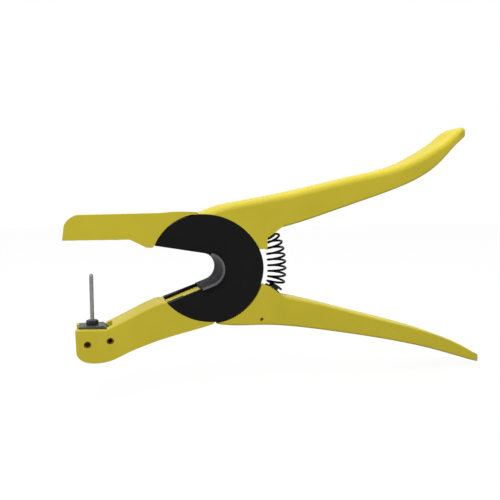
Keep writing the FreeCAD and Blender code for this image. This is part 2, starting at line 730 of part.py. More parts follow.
def spring_axis():
    """Four control points of the bowed axis, from the upper cup to the lower one."""
    upper_middle, upper_end, upper_out = seat_frame(upper_seat_x, upper_seat_z, upper_seat_slope, -1)
    lower_middle, lower_end, lower_out = seat_frame(lower_seat_x, lower_seat_z, lower_seat_slope, 1)
    lift = cup_thickness + side_gap + spring_wire / 2
    first = upper_middle + upper_out * lift
    last = lower_middle + lower_out * (lift + spring_lower_lift)
    lean = heading(lower_seat_slope + 90 + spring_lower_lean)
    return first, first + upper_out * spring_upper_bow, last + lean * spring_lower_bow, last


def axis_at(share):
    a, b, c, d = spring_axis_points
    rest = 1 - share
    spot = a * rest ** 3 + b * (3 * rest ** 2 * share) + c * (3 * rest * share ** 2) + d * share ** 3
    way = (b - a) * rest ** 2 + (c - b) * (2 * rest * share) + (d - c) * share ** 2
    return spot, way * (1 / way.Length)


def axis_lengths():
    """Length of the axis up to each of many even steps along it."""
    spots = [axis_at(index / axis_steps)[0] for index in range(axis_steps + 1)]
    lengths = [0]
    for before, after in zip(spots, spots[1:]):
        lengths.append(lengths[-1] + (after - before).Length)
    return lengths


def even_share(travelled):
    """The curve's share at which this part of the axis length has been travelled."""
    wanted = min(max(travelled, 0), 1) * spring_lengths[-1]
    index = 1
    while index < axis_steps and spring_lengths[index] < wanted:
        index += 1
    before = spring_lengths[index - 1]
    return (index - 1 + (wanted - before) / (spring_lengths[index] - before)) / axis_steps


def spring_place(turn):
    """The wire's centre, with even turns along the bowed axis."""
    spot, way = axis_at(even_share(turn / spring_turns))
    side = FreeCAD.Vector(0, 1, 0)
    out = side.cross(way)
    turn_angle = 2 * math.pi * turn
    radius = spring_radius(turn / spring_turns)
    return spot + (out * math.cos(turn_angle) + side * math.sin(turn_angle)) * radius


def spring_radius(share):
    """The coil is slimmer on its cups than half way between them."""
    swell = math.sin(math.pi * min(max(share, 0), 1)) ** spring_swell_power
    end = spring_radii[0] + (spring_radii[2] - spring_radii[0]) * share
    return end + (spring_radii[1] - end) * swell


def return_spring():
    gap = least_gap(spring_place, spring_turns, spring_wire)
    print("return spring: least gap to itself", round(gap, 2), "mm, wanted over", least_wire_gap)
    return wound_wire(spring_place, spring_turns, spring_wire)


def flip_spring_radius():
    return roll_pin_radius + flip_spring_play + flip_spring_wire / 2


def flip_spring_room():
    return flip_spring_turns * flip_spring_pitch + flip_spring_wire + side_gap


def flip_spring_place(turn):
    angle = 2 * math.pi * turn
    y = carrier_half - flip_spring_room() + flip_spring_wire / 2 + side_gap / 2 + turn * flip_spring_pitch
    radius = flip_spring_radius()
    return point(carrier_pin_x + radius * math.cos(angle), carrier_pin_z + radius * math.sin(angle), y)


def flip_spring():
    gap = least_gap(flip_spring_place, flip_spring_turns, flip_spring_wire)
    print("flip spring: least gap to itself", round(gap, 2), "mm")
    return wound_wire(flip_spring_place, flip_spring_turns, flip_spring_wire)


axis_steps = 400
spring_axis_points = spring_axis()
spring_lengths = axis_lengths()


def all_parts():
    near_plate = near_link_plate()
    plates = (near_plate, flipped(near_plate))
    upper_middle, upper_end, upper_out = seat_frame(upper_seat_x, upper_seat_z, upper_seat_slope, -1)
    lower_middle, lower_end, lower_out = seat_frame(lower_seat_x, lower_seat_z, lower_seat_slope, 1)
    return {
        "needle_arm": needle_arm(),
        "near_cheek": cheek_cover(near_cheek_step),
        "far_cheek": flipped(cheek_cover(far_cheek_step)),
        "throat_liner": throat_liner(),
        "near_link_plate": plates[0],
        "far_link_plate": plates[1],
        "clip_jaw": clip_jaw(plates),
        "lower_handle": lower_handle(plates),
        "link_cross_pin": link_cross_pin(),
        "tag_clip": tag_clip(),
        "tag_clip_screws": tag_clip_screws(),
        "upper_spring_cup": spring_cup(upper_middle, upper_out),
        "lower_spring_cup": spring_cup(lower_middle, lower_out),
        "return_spring": return_spring(),
        "carrier_pin": roll_pin(carrier_pin_x, carrier_pin_z),
        "stop_pin": roll_pin(stop_pin_x, stop_pin_z),
        "needle_carrier": needle_carrier(),
        "flip_spring": flip_spring(),
        "needle": needle(),
        "needle_lock_nut": needle_nut(),
    }


for name, shape in all_parts().items():
    print(name, "solids", len(shape.Solids), "volume", round(shape.Volume, 1), "valid", shape.isValid())
    shape.exportStep("parts/" + name + ".step")
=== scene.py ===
# %% [markdown]
# Tag applicator pliers. Two moulded yellow arms cross at a round black pivot with an open, steel-lined
# throat. A bowed spring holds the handles apart, and the lower jaw carries a needle that can flip away.
# The frame holds every part at its real size. This lesson dresses each one: softened edges, wound wire,
# turned steel, and a finish named for what the real part is made of.

# %% Load the frame
import json
import math
import bpy
import bmesh
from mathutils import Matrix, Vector


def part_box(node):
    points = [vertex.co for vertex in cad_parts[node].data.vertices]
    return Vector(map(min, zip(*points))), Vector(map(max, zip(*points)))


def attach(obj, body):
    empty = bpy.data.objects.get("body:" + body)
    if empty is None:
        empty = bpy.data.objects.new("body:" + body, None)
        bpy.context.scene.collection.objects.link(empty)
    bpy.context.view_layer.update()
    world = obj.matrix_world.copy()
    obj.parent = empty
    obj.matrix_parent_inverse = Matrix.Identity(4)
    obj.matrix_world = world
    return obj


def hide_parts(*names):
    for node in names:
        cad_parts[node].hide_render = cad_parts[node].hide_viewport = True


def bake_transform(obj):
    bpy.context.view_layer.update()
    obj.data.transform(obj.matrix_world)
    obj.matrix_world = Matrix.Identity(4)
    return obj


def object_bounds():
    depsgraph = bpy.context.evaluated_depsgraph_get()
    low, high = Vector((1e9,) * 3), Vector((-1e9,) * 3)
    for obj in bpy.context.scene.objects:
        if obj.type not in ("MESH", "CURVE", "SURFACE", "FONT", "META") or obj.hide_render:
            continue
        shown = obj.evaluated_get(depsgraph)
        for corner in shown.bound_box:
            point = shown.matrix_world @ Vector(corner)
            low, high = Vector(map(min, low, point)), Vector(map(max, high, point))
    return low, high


bpy.context.scene.view_settings.view_transform = "Standard"
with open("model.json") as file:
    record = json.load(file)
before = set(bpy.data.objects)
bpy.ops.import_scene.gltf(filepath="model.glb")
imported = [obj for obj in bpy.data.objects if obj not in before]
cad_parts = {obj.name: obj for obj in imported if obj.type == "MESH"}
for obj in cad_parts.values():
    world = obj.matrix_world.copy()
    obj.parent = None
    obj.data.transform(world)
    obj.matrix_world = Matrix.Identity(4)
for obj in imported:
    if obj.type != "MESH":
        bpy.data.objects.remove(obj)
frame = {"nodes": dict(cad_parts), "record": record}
cad_low, cad_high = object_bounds()
MM = 0.001
print("frame:", len(frame["nodes"]), "nodes, length in mm", round((cad_high.x - cad_low.x) / MM, 1))


# %% [markdown]
# The camera stands where the photograph was taken from: a little left of the pivot, close in, turned
# towards the handles and tipped down. Standing this close gives the strong perspective that makes the
# jaws look deep. The lens and sensor are equal, so the focal length is one picture width.

# %% Camera
CAMERA_PLACE = Vector((-58.8, -290.0, 34.4)) * MM
CAMERA_YAW = math.radians(16.7)
CAMERA_PITCH = math.radians(4.6)
LENS_MM = 36.0

camera = bpy.data.objects.new("camera", bpy.data.cameras.new("camera"))
bpy.context.scene.collection.objects.link(camera)
camera.location = CAMERA_PLACE
camera.rotation_euler = (math.pi / 2 - CAMERA_PITCH, 0, -CAMERA_YAW)
camera.data.lens = LENS_MM
camera.data.sensor_width = LENS_MM
camera.data.clip_start = 10 * MM
bpy.context.scene.camera = camera
print("camera at", [round(v, 3) for v in camera.location])


# %% [markdown]
# Materials and shapes below are both small graphs of nodes. One helper adds a node, sets its properties
# and fills its inputs with a fixed value or a link, so each graph stays a short list of steps. Colours
# are written as they look on a screen, and one function turns them into the linear values a shader needs.

# %% Helpers for node graphs
def linear(hex_colour):
    channels = [int(hex_colour[i:i + 2], 16) / 255 for i in (1, 3, 5)]
    return [c / 12.92 if c <= 0.04045 else ((c + 0.055) / 1.055) ** 2.4 for c in channels] + [1.0]


def add_node(tree, kind, inputs=(), **settings):
    """Adds a node. Each input is (name or number, fixed value or the socket that feeds it)."""
    node = tree.nodes.new(kind)
    for name, value in settings.items():
        setattr(node, name, value)
    for name, value in inputs:
        if isinstance(value, bpy.types.NodeSocket):
            tree.links.new(value, node.inputs[name])
        else:
            node.inputs[name].default_value = value
    return node


# %% [markdown]
# Every finish on this tool varies in three ways. Its colour drifts slowly over the part, its sheen
# varies with the fine grain of the surface, and that grain also stands a few micrometres proud. One
# recipe makes all three from two noises whose scales are real sizes in millimetres. A brushed surface
# stretches the grain along the brush. What is the same all over goes straight on the shader's sockets.

# %% One recipe for a real surface
DRIFT_DETAIL = 3.0
GRAIN_DETAIL = 2.0
RAMP_LOW = 0.3
RAMP_HIGH = 0.7


def finish(name, dark, light, drift_mm, grain_mm, rough, relief_mm, stretch=(1, 1, 1), **fixed):
    material = bpy.data.materials.new(name)
    material.use_nodes = True
    tree = material.node_tree
    tree.nodes.clear()
    place = add_node(tree, "ShaderNodeTexCoord").outputs["Object"]
    drift = add_node(tree, "ShaderNodeTexNoise", [("Vector", place), ("Scale", 1 / (drift_mm * MM)),
                                                  ("Detail", DRIFT_DETAIL)])
    ramp = add_node(tree, "ShaderNodeValToRGB", [("Fac", drift.outputs["Fac"])])
    for stop, position, colour in zip(ramp.color_ramp.elements, (RAMP_LOW, RAMP_HIGH), (dark, light)):
        stop.position = position
        stop.color = linear(colour)
    along = add_node(tree, "ShaderNodeMapping", [("Vector", place), ("Scale", stretch)])
    grain = add_node(tree, "ShaderNodeTexNoise", [("Vector", along.outputs["Vector"]),
                                                  ("Scale", 1 / (grain_mm * MM)),
                                                  ("Detail", GRAIN_DETAIL)]).outputs["Fac"]
    sheen = add_node(tree, "ShaderNodeMapRange", [("Value", grain), ("To Min", rough[0]),
                                                  ("To Max", rough[1])])
    relief = add_node(tree, "ShaderNodeBump", [("Height", grain), ("Distance", relief_mm * MM)])
    shader = add_node(tree, "ShaderNodeBsdfPrincipled",
                      [("Base Color", ramp.outputs["Color"]), ("Roughness", sheen.outputs["Result"]),
                       ("Normal", relief.outputs["Normal"])])
    for socket, value in fixed.items():
        shader.inputs[socket.replace("_", " ")].default_value = value
    add_node(tree, "ShaderNodeOutputMaterial", [("Surface", shader.outputs["BSDF"])])
    return material


# %% [markdown]
# The arms are injection-moulded glass-filled nylon, pigmented a slightly green golden yellow. The mould
# leaves a spark texture with grains of about half a millimetre, and the colour drifts a little where the
# melt cooled. It is semi-gloss: bright along the rounded tops, quiet on the flat sides. The spring's
# cups are the same nylon in black, duller, and with a grain that stands prouder.

# %% Moulded nylon, yellow and black
NYLON = finish("moulded yellow nylon", "#CCBC30", "#D4C434", drift_mm=26.0, grain_mm=0.6,
               rough=(0.4, 0.52), relief_mm=0.0014, IOR=1.53, Specular_IOR_Level=0.2)
BLACK_NYLON = finish("matt black nylon", "#131314", "#1B1B1D", drift_mm=6.0, grain_mm=0.5,
                     rough=(0.45, 0.6), relief_mm=0.005, IOR=1.53, Specular_IOR_Level=0.25)
print("nylons:", NYLON.name, "and", BLACK_NYLON.name)

# %% [markdown]
# The cheeks are black acetal with a satin skin. A black plastic shows almost nothing of its own colour:
# what the eye sees is the light of the room, spread so wide that each cheek has one quiet, even sheen.

# %% Satin black acetal
ACETAL = finish("satin black acetal", "#090909", "#0E0E0F", drift_mm=9.0, grain_mm=3.0,
                rough=(0.48, 0.58), relief_mm=0.001, IOR=1.48, Specular_IOR_Level=0.12)
print("cheeks:", ACETAL.name)

# %% [markdown]
# Everything that bears on the needle or the pivot is steel. The throat liner is bent strip, brushed
# across its width, so its scratches run along Y: the grain is stretched thirty times that way. The
# needle is ground, so its scratches run along Z. The clip and its screws are zinc-plated, a cool grey,
# and the nut has a black-oxide skin, darker and duller. The roll pins are brown from their heat
# treatment, and oil keeps the spring wire nearly black. The carrier is a zinc casting under grey paint,
# so it has the soft sheen of paint. A metal takes its colour from the base colour and its look from the
# roughness.

# %% Steels and the grey casting
STRIP = finish("brushed strip steel", "#555556", "#676768", drift_mm=7.0, grain_mm=0.4,
               rough=(0.3, 0.45), relief_mm=0.003, stretch=(1, 1 / 30, 1), Metallic=1.0,
               Specular_Tint=linear("#8C8C8E"))
GROUND = finish("ground needle steel", "#808082", "#909092", drift_mm=3.0, grain_mm=0.25,
                rough=(0.25, 0.38), relief_mm=0.002, stretch=(1, 1, 1 / 20), Metallic=1.0)
PLATED = finish("zinc-plated steel", "#55565A", "#6A6B6F", drift_mm=2.0, grain_mm=0.6,
                rough=(0.3, 0.42), relief_mm=0.002, Metallic=1.0)
BLACK_OXIDE = finish("black-oxide nut steel", "#2C2D2F", "#3A3B3D", drift_mm=1.5, grain_mm=0.5,
                     rough=(0.35, 0.48), relief_mm=0.002, Metallic=1.0)
BROWNED = finish("browned roll-pin steel", "#6E430A", "#875716", drift_mm=1.5, grain_mm=0.5,
                 rough=(0.4, 0.55), relief_mm=0.003, Metallic=0.5)
OILED = finish("oil-tempered spring wire", "#0E0E10", "#18181A", drift_mm=4.0, grain_mm=0.5,
               rough=(0.35, 0.5), relief_mm=0.002, Metallic=1.0)
CAST = finish("grey painted zinc casting", "#3E4042", "#4C4E50", drift_mm=4.0, grain_mm=0.6,
              rough=(0.4, 0.55), relief_mm=0.008, Metallic=0.2)
print("materials:", len(bpy.data.materials))


# %% [markdown]
# The frame's meshes have knife-sharp edges, and nothing moulded or cut does. Each moulded or bent part
# is dressed the same way: a copy of its mesh is merged, its flat areas are joined back into whole
# faces, and a small bevel catches the light along every edge. Weighted normals keep the flats flat.
# Only faces within a quarter of a degree count as one flat area, so a long curve keeps its many faces.

# %% Dressing a part of the frame
BODIES = frame["record"]["behaviour"]["bodies"]
BODY_OF = {node: body for body, nodes in BODIES.items() for node in nodes}
FLAT_ANGLE = math.radians(0.25)
EDGE_ANGLE = math.radians(32)
MERGE_MM = 0.05


def stand_in(piece, node):
    """Lets a piece ride its node's body and take the node's place."""
    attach(piece, BODY_OF[node])
    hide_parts(node)


def shown(name, mesh, material):
    """Turns a bmesh into an object at the origin with one material, shaded smooth."""
    data = bpy.data.meshes.new(name)
    mesh.to_mesh(data)
    mesh.free()
    data.polygons.foreach_set("use_smooth", [True] * len(data.polygons))
    data.materials.append(material)
    piece = bpy.data.objects.new(name, data)
    bpy.context.scene.collection.objects.link(piece)
    return piece


def soften(piece, width_mm, segments=2):
    """Rounds every edge that turns more than EDGE_ANGLE."""
    bevel = piece.modifiers.new("softened edges", "BEVEL")
    bevel.width = width_mm * MM
    bevel.segments = segments
    bevel.limit_method = "ANGLE"
    bevel.angle_limit = EDGE_ANGLE
    normals = piece.modifiers.new("flat faces stay flat", "WEIGHTED_NORMAL")
    normals.mode = "FACE_AREA"
    return piece


def joined_flats(data):
    """A copy of a mesh, merged, with each flat area as one whole face."""
    mesh = bmesh.new()
    mesh.from_mesh(data)
    bmesh.ops.remove_doubles(mesh, verts=mesh.verts, dist=MERGE_MM * MM)
    bmesh.ops.dissolve_limit(mesh, angle_limit=FLAT_ANGLE, verts=mesh.verts, edges=mesh.edges)
    return mesh


def dress(node, name, material, width_mm):
    mesh = joined_flats(frame["nodes"][node].data)
    piece = soften(shown(name, mesh, material), width_mm)
    stand_in(piece, node)
    print(name, len(piece.data.polygons), "faces before its bevel")
    return piece


# %% [markdown]
# The mouldings: two arms in three pieces, the two cheeks, and the cups that hold the spring. Their
# mould edges are rounded by a few tenths of a millimetre.

# %% Mouldings
HANDLE_EDGE_MM = 0.4
JAW_EDGE_MM = 0.35
CHEEK_EDGE_MM = 0.25
CUP_EDGE_MM = 0.2

arm_piece = dress("needle_arm", "needle_arm_moulding", NYLON, HANDLE_EDGE_MM)
dress("clip_jaw", "clip_jaw_moulding", NYLON, JAW_EDGE_MM)
dress("lower_handle", "lower_handle_moulding", NYLON, HANDLE_EDGE_MM)
dress("near_cheek", "near_cheek_cover", ACETAL, CHEEK_EDGE_MM)
dress("far_cheek", "far_cheek_cover", ACETAL, CHEEK_EDGE_MM)
dress("upper_spring_cup", "upper_cup_moulding", BLACK_NYLON, CUP_EDGE_MM)
dress("lower_spring_cup", "lower_cup_moulding", BLACK_NYLON, CUP_EDGE_MM)

# %% [markdown]
# The upper handle ends in a blunt nose, rounded like a bar of soap. Its plan is half an ellipse, and the
# rim between its end and its top is a wide round. The narrow faces beside an edge hold a bevel back, so
# the moulding is intersected with a block that has this rim. Elsewhere the block stands clear of it.

# %% A block with a blunt nose
NOSE_START_MM = 166.5
NOSE_DEPTH_MM = 12.05
NOSE_HALF_MM = 11.02
NOSE_TOP_MM = 87.6
NOSE_SLOPE = 0.233
NOSE_ROUND_MM = 3.4
NOSE_STEPS = 6
PLAN_STEPS = 32
BLOCK_LEFT_MM = -100.0
BLOCK_FLOOR_MM = -120.0


def nose_block():
    """A long block whose right end is the nose. Its rings climb the wall and then go round the rim."""
    mesh = bmesh.new()
    # Each level is an inset and a height. The first one lies on the block's floor.
    levels = [(0.0, None)]
    for step in range(NOSE_STEPS + 1):
        turn = math.pi / 2 * step / NOSE_STEPS
        drop = NOSE_ROUND_MM * (1 - math.sin(turn))
        levels.append((NOSE_ROUND_MM * (1 - math.cos(turn)), NOSE_TOP_MM - drop))
    loops = []
    for inset, height in levels:
        half, depth = NOSE_HALF_MM - inset, NOSE_DEPTH_MM - inset
        plan = [(BLOCK_LEFT_MM, -half)]
        for step in range(PLAN_STEPS + 1):
            turn = math.pi * (step / PLAN_STEPS - 0.5)
            plan.append((NOSE_START_MM + depth * math.cos(turn), half * math.sin(turn)))
        plan.append((BLOCK_LEFT_MM, half))
        loop = []
        for x, y in plan:
            z = BLOCK_FLOOR_MM if height is None else height + NOSE_SLOPE * (x - NOSE_START_MM)
            loop.append(mesh.verts.new(Vector((x, y, z)) * MM))
        loops.append(loop)
    for lower, upper in zip(loops, loops[1:]):
        for side in range(len(lower)):
            after = (side + 1) % len(lower)
            mesh.faces.new((lower[side], lower[after], upper[after], upper[side]))
    mesh.faces.new(list(reversed(loops[0])))
    mesh.faces.new(loops[-1])
    bmesh.ops.recalc_face_normals(mesh, faces=mesh.faces)
    return mesh


# %% Blunt nose of the upper handle
def keep_inside(piece, block):
    """Keeps only what both meshes hold, as a plain mesh, and throws the block away."""
    cutter = shown("nose_block", block, NYLON)
    cut = piece.modifiers.new("cut", "BOOLEAN")
    cut.operation = "INTERSECT"
    cut.solver = "EXACT"
    cut.object = cutter
    # The bevel and its normals stay out of the cut, and come back after it.
    others = [modifier for modifier in piece.modifiers if modifier != cut]
    for modifier in others:
        modifier.show_viewport = False
    data = bpy.data.meshes.new_from_object(piece.evaluated_get(bpy.context.evaluated_depsgraph_get()))
    piece.modifiers.remove(cut)
    for modifier in others:
        modifier.show_viewport = True
    whole = joined_flats(data)
    whole.to_mesh(data)
    whole.free()
    data.name = piece.name
    piece.data = data
    bpy.data.objects.remove(cutter)


before = len(arm_piece.data.polygons)
keep_inside(arm_piece, nose_block())
print("needle arm:", before, "faces, then", len(arm_piece.data.polygons), "with its blunt nose")

# %% [markdown]
# The bent, stamped and cast parts. Stamping leaves a much smaller radius than moulding does, and a
# casting a larger one.

# %% Stamped, rolled and cast parts
BENT_EDGE_MM = 0.15
PLATE_EDGE_MM = 0.1
CAST_EDGE_MM = 0.35
PIN_EDGE_MM = 0.2

dress("throat_liner", "throat_liner_strip", STRIP, BENT_EDGE_MM)
dress("near_link_plate", "near_link_steel", STRIP, PLATE_EDGE_MM)
dress("far_link_plate", "far_link_steel", STRIP, PLATE_EDGE_MM)
dress("tag_clip", "tag_clip_steel", PLATED, PLATE_EDGE_MM)
dress("needle_carrier", "needle_carrier_casting", CAST, CAST_EDGE_MM)
dress("carrier_pin", "carrier_roll_pin", BROWNED, PIN_EDGE_MM)
dress("stop_pin", "stop_roll_pin", BROWNED, PIN_EDGE_MM)
dress("link_cross_pin", "link_roll_pin", BROWNED, PIN_EDGE_MM)


# %% [markdown]
# The needle is turned and ground from one bar: a threaded stem, a shoulder, a straight shaft and a
# short round-ended point. A turned part is a row of rings round one axis. The same rings also make the
# hexagon nut: each ring may change its radius with the angle, and the cone that a nut's corners are
# cut with lowers the ring where the corner stands out, which gives the curved chamfer lines.

# %% Rings that make turned steel
TURNED_SIDES = 48
NEEDLE_LOW, NEEDLE_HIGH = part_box("needle")
NUT_LOW, NUT_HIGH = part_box("needle_lock_nut")
NEEDLE_AXIS = Vector(((NEEDLE_LOW.x + NEEDLE_HIGH.x) / 2, 0, 0))


def turned(name, rings, material, axis, closed_ends=True):
    """Rings are lists of (radius, height) round the axis, one pair for each side, in metres."""
    mesh = bmesh.new()
    loops = []
    for ring in rings:
        loop = []
        for side, (radius, height) in enumerate(ring):
            angle = math.tau * side / len(ring)
            outwards = Vector((radius * math.cos(angle), radius * math.sin(angle), height))
            loop.append(mesh.verts.new(axis + outwards))
        loops.append(loop)
    pairs = list(zip(loops, loops[1:]))
    if not closed_ends:
        pairs.append((loops[-1], loops[0]))
    for lower, upper in pairs:
        for side in range(len(lower)):
            after = (side + 1) % len(lower)
            mesh.faces.new((lower[side], lower[after], upper[after], upper[side]))
    if closed_ends:
        mesh.faces.new(list(reversed(loops[0])))
        mesh.faces.new(loops[-1])
    bmesh.ops.recalc_face_normals(mesh, faces=mesh.faces)
    return shown(name, mesh, material)


def round_ring(radius_mm, height):
    return [(radius_mm * MM, height)] * TURNED_SIDES


# %% Needle
STEM_RADIUS_MM = 1.6
SHAFT_RADIUS_MM = 1.1
SHOULDER_CHAMFER_MM = 0.3
POINT_MM = ((0.0, 1.1), (0.35, 1.02), (0.75, 0.82), (1.05, 0.56), (1.2, 0.25))
THREAD_PITCH_MM = 0.7
THREAD_DEPTH_MM = 0.22
NEEDLE_EDGE_MM = 0.05


def needle_rings():
    low, high = NEEDLE_LOW.z, NEEDLE_HIGH.z
    shoulder = NUT_HIGH.z
    rings = [round_ring(STEM_RADIUS_MM - THREAD_DEPTH_MM, low)]
    height = low
    while height + THREAD_PITCH_MM * MM < NUT_LOW.z:
        rings.append(round_ring(STEM_RADIUS_MM, height + THREAD_PITCH_MM * MM / 2))
        height += THREAD_PITCH_MM * MM
        rings.append(round_ring(STEM_RADIUS_MM - THREAD_DEPTH_MM, height))
    rings.append(round_ring(STEM_RADIUS_MM, NUT_LOW.z))
    rings.append(round_ring(STEM_RADIUS_MM, shoulder - SHOULDER_CHAMFER_MM * MM))
    rings.append(round_ring(STEM_RADIUS_MM - SHOULDER_CHAMFER_MM, shoulder))
    rings.append(round_ring(SHAFT_RADIUS_MM, shoulder))
    point_foot = high - POINT_MM[-1][0] * MM
    return rings + [round_ring(radius, point_foot + rise * MM) for rise, radius in POINT_MM]


needle_piece = turned("needle_ground", needle_rings(), GROUND, NEEDLE_AXIS)
soften(needle_piece, NEEDLE_EDGE_MM)
stand_in(needle_piece, "needle")
print("needle above its nut in mm", round((NEEDLE_HIGH.z - NUT_HIGH.z) / MM, 1))

# %% Hexagon nut
NUT_HALF_FLATS_MM = 2.9
NUT_CORNER_CUT_MM = 2.75
NUT_CUT_SLOPE = math.tan(math.radians(30))
NUT_EDGE_MM = 0.06


def hexagon_radius(side):
    """Distance from the axis to the nut's outline, for one of its sides' even steps."""
    angle = math.tau * side / TURNED_SIDES
    from_flat = (angle % (math.pi / 3)) - math.pi / 6
    return NUT_HALF_FLATS_MM * MM / math.cos(from_flat)


def nut_rings():
    outline = [hexagon_radius(side) for side in range(TURNED_SIDES)]
    drops = [max(radius - NUT_CORNER_CUT_MM * MM, 0) * NUT_CUT_SLOPE for radius in outline]
    low, high = NUT_LOW.z, NUT_HIGH.z
    return [round_ring(STEM_RADIUS_MM, low), round_ring(NUT_CORNER_CUT_MM, low),
            [(radius, low + drop) for radius, drop in zip(outline, drops)],
            [(radius, high - drop) for radius, drop in zip(outline, drops)],
            round_ring(NUT_CORNER_CUT_MM, high), round_ring(STEM_RADIUS_MM, high)]


nut_piece = turned("needle_nut_turned", nut_rings(), BLACK_OXIDE, NEEDLE_AXIS, closed_ends=False)
soften(nut_piece, NUT_EDGE_MM)
stand_in(nut_piece, "needle_lock_nut")
print("nut:", len(nut_piece.data.polygons), "faces")


# %% [markdown]
# The springs and the screws follow rules, so Geometry Nodes build them. Each rule is a graph whose sizes
# are named inputs. Two helpers begin and end such a graph, and a third runs it and keeps the mesh.

# %% Begin, end and run a shape graph
def shape_tree(name, sizes):
    """An empty shape graph with named inputs. Gives the graph and its inputs' sockets."""
    tree = bpy.data.node_groups.new(name, "GeometryNodeTree")
    tree.interface.new_socket("Geometry", in_out="OUTPUT", socket_type="NodeSocketGeometry")
    for label, kind in sizes:
        tree.interface.new_socket(label, in_out="INPUT", socket_type="NodeSocket" + kind)
    return tree, add_node(tree, "NodeGroupInput").outputs


def end_tree(tree, geometry, material):
    """Ends a shape graph: real geometry instead of instances, with its material."""
    real = add_node(tree, "GeometryNodeRealizeInstances", [("Geometry", geometry)])
    dressed = add_node(tree, "GeometryNodeSetMaterial", [("Geometry", real.outputs[0]),
                                                         ("Material", material)])
    add_node(tree, "NodeGroupOutput", [("Geometry", dressed.outputs[0])])
    return tree


def grown(tree, name, sizes):
    """Runs a shape graph and gives its result as a plain mesh object with smooth faces."""
    host = bpy.data.objects.new(name + "_host", bpy.data.meshes.new(name + "_host"))
    bpy.context.scene.collection.objects.link(host)
    modifier = host.modifiers.new("shape", "NODES")
    modifier.node_group = tree
    for socket in tree.interface.items_tree:
        if socket.in_out == "INPUT":
            modifier[socket.identifier] = sizes[socket.name]
    depsgraph = bpy.context.evaluated_depsgraph_get()
    data = bpy.data.meshes.new_from_object(host.evaluated_get(depsgraph))
    host.modifiers.clear()
    bpy.data.objects.remove(host)
    data.name = name
    data.polygons.foreach_set("use_smooth", [True] * len(data.polygons))
    piece = bpy.data.objects.new(name, data)
    bpy.context.scene.collection.objects.link(piece)
    print(name, len(data.polygons), "faces")
    return piece


# %% [markdown]
# A spring is wire wound round an axis. The graph draws the bowed axis as a Bezier curve, cuts it into
# even steps, and moves each step out to its place on the coil: across the axis by the sine of the turn,
# and outwards by the cosine. The coil's radius swells between its cups. A round profile then makes the
# wire. One graph winds both springs, each with its own sizes.

# %% A graph that winds wire
AXIS_STEPS = 64


def coil_tree():
    tree, given = shape_tree("wound wire", [
        ("Start", "Vector"), ("Start handle", "Vector"), ("End handle", "Vector"), ("End", "Vector"),
        ("Across", "Vector"), ("Turns", "Float"), ("Steps per turn", "Int"), ("Start radius", "Float"),
        ("Middle radius", "Float"), ("End radius", "Float"), ("Swell power", "Float"),
        ("Wire radius", "Float"), ("Wire sides", "Int"), ("Material", "Material")])
    axis = add_node(tree, "GeometryNodeCurvePrimitiveBezierSegment", [
        ("Resolution", AXIS_STEPS), ("Start", given["Start"]), ("Start Handle", given["Start handle"]),
        ("End Handle", given["End handle"]), ("End", given["End"])], mode="POSITION")
    steps = add_node(tree, "ShaderNodeMath", [(0, given["Turns"]), (1, given["Steps per turn"])],
                     operation="MULTIPLY")
    even = add_node(tree, "GeometryNodeResampleCurve",
                    [("Curve", axis.outputs[0]), ("Count", steps.outputs[0])], mode="COUNT")
    share = add_node(tree, "GeometryNodeSplineParameter").outputs["Factor"]
    way = add_node(tree, "GeometryNodeInputTangent").outputs[0]
    turn = add_node(tree, "ShaderNodeMath", [(0, share), (1, given["Turns"])], operation="MULTIPLY")
    angle = add_node(tree, "ShaderNodeMath", [(0, turn.outputs[0]), (1, math.tau)], operation="MULTIPLY")
    half_turn = add_node(tree, "ShaderNodeMath", [(0, share), (1, math.pi)], operation="MULTIPLY")
    arch = add_node(tree, "ShaderNodeMath", [(0, half_turn.outputs[0])], operation="SINE")
    above = add_node(tree, "ShaderNodeMath", [(0, arch.outputs[0]), (1, 0.0)], operation="MAXIMUM")
    swell = add_node(tree, "ShaderNodeMath", [(0, above.outputs[0]), (1, given["Swell power"])],
                     operation="POWER")
    plain = add_node(tree, "ShaderNodeMapRange", [("Value", share), ("To Min", given["Start radius"]),
                                                  ("To Max", given["End radius"])])
    radius = add_node(tree, "ShaderNodeMapRange", [("Value", swell.outputs[0]),
                                                   ("To Min", plain.outputs[0]),
                                                   ("To Max", given["Middle radius"])])
    outwards = add_node(tree, "ShaderNodeVectorMath", [(0, given["Across"]), (1, way)],
                        operation="CROSS_PRODUCT")
    moved = []
    for direction, wave in ((outwards.outputs[0], "COSINE"), (given["Across"], "SINE")):
        part = add_node(tree, "ShaderNodeMath", [(0, angle.outputs[0])], operation=wave)
        reach = add_node(tree, "ShaderNodeMath", [(0, part.outputs[0]), (1, radius.outputs[0])],
                         operation="MULTIPLY")
        moved.append(add_node(tree, "ShaderNodeVectorMath", [(0, direction), ("Scale", reach.outputs[0])],
                              operation="SCALE").outputs[0])
    offset = add_node(tree, "ShaderNodeVectorMath", [(0, moved[0]), (1, moved[1])], operation="ADD")
    wound = add_node(tree, "GeometryNodeSetPosition",
                     [("Geometry", even.outputs[0]), ("Offset", offset.outputs[0])])
    profile = add_node(tree, "GeometryNodeCurvePrimitiveCircle",
                       [("Resolution", given["Wire sides"]), ("Radius", given["Wire radius"])],
                       mode="RADIUS")
    wire = add_node(tree, "GeometryNodeCurveToMesh",
                    [("Curve", wound.outputs[0]), ("Profile Curve", profile.outputs[0]),
                     ("Fill Caps", True)])
    return end_tree(tree, wire.outputs[0], given["Material"])


WOUND_WIRE = coil_tree()
print("the graph that winds wire has", len(WOUND_WIRE.nodes), "nodes")
